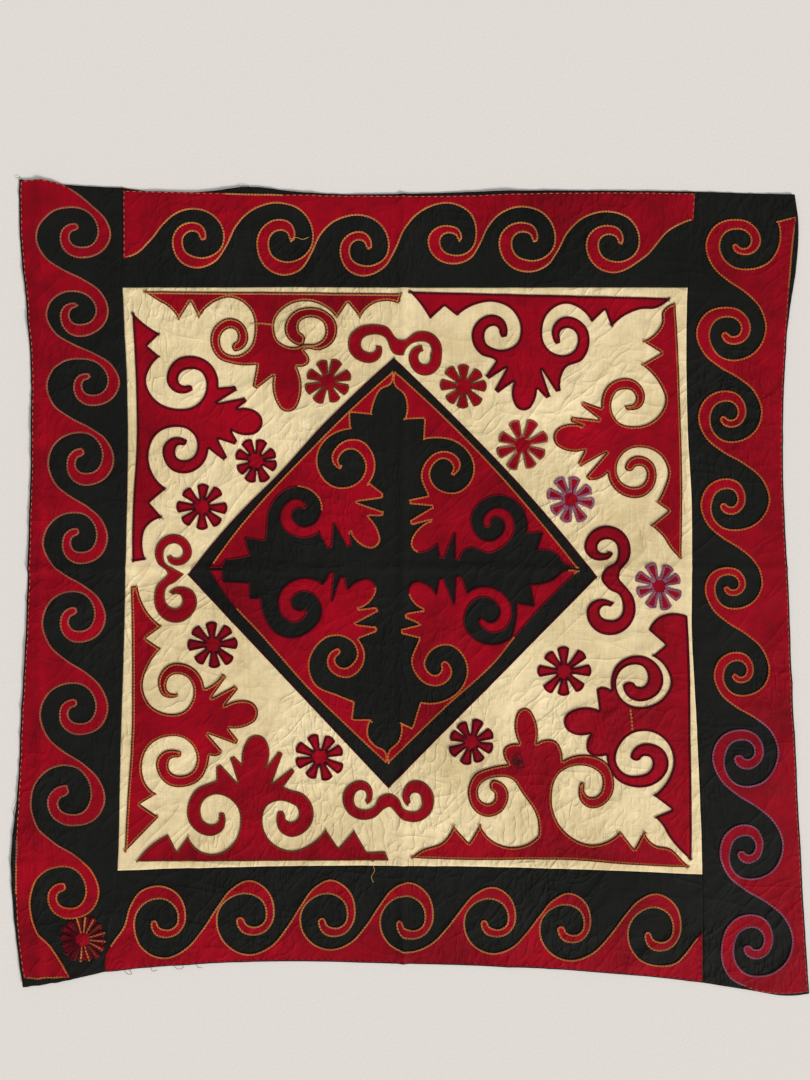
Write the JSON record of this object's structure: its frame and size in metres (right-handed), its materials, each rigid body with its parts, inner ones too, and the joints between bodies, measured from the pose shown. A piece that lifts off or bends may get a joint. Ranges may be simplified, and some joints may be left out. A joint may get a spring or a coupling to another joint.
{
  "type": "applique suzani textile panel",
  "caption": "Square cotton hanging with cut-cloth ram's-horn, running-wave and rosette motifs sewn on a cream field and dark borders, laid out flat face up.",
  "frame": {"origin": "middle of the cloth's box, on the surface that its back rests on", "axes": "+Z out of the face of the cloth, +Y towards its top border, +X towards its right border"},
  "size_m": [0.9954, 1.0184, 0.0073],
  "materials": {
    "cream_cotton": "unbleached plain-weave cotton, finely crinkled",
    "black_cotton": "matt black plain-weave cotton",
    "crimson_cotton": "deep crimson plain-weave cotton, soft sheen",
    "gold_thread": "golden orange sewing thread in chain stitch",
    "dark_thread": "dark maroon sewing thread in chain stitch",
    "olive_thread": "olive sewing thread in chain stitch",
    "lilac_thread": "lilac sewing thread in chain stitch"
  },
  "bodies": {
    "root": {"field": "cream_cotton", "border_top": "black_cotton", "border_bottom": "black_cotton", "border_left": "black_cotton", "border_right": "black_cotton", "wave_top": "crimson_cotton", "wave_bottom": "crimson_cotton", "wave_left": "crimson_cotton", "wave_right": "crimson_cotton", "horn_top_left": "crimson_cotton", "horn_top_right": "crimson_cotton", "horn_left_upper": "crimson_cotton", "horn_left_lower": "crimson_cotton", "horn_bottom_left": "crimson_cotton", "horn_bottom_right": "crimson_cotton", "horn_right_upper": "crimson_cotton", "horn_right_lower": "crimson_cotton", "double_curl_top": "crimson_cotton", "double_curl_left": "crimson_cotton", "double_curl_right": "crimson_cotton", "double_curl_bottom": "crimson_cotton", "rosette_top_left": "crimson_cotton", "rosette_top_right": "crimson_cotton", "rosette_upper_right": "crimson_cotton", "rosette_mid_right": "crimson_cotton", "rosette_right": "crimson_cotton", "rosette_lower_right": "crimson_cotton", "rosette_bottom_right": "crimson_cotton", "rosette_bottom_left": "crimson_cotton", "rosette_lower_left": "crimson_cotton", "rosette_left": "crimson_cotton", "rosette_upper_left": "crimson_cotton", "rosette_corner": "crimson_cotton", "diamond": "black_cotton", "diamond_horn_up_left": "crimson_cotton", "diamond_horn_up_right": "crimson_cotton", "diamond_horn_down_left": "crimson_cotton", "diamond_horn_down_right": "crimson_cotton"}
  },
  "joints": []
}
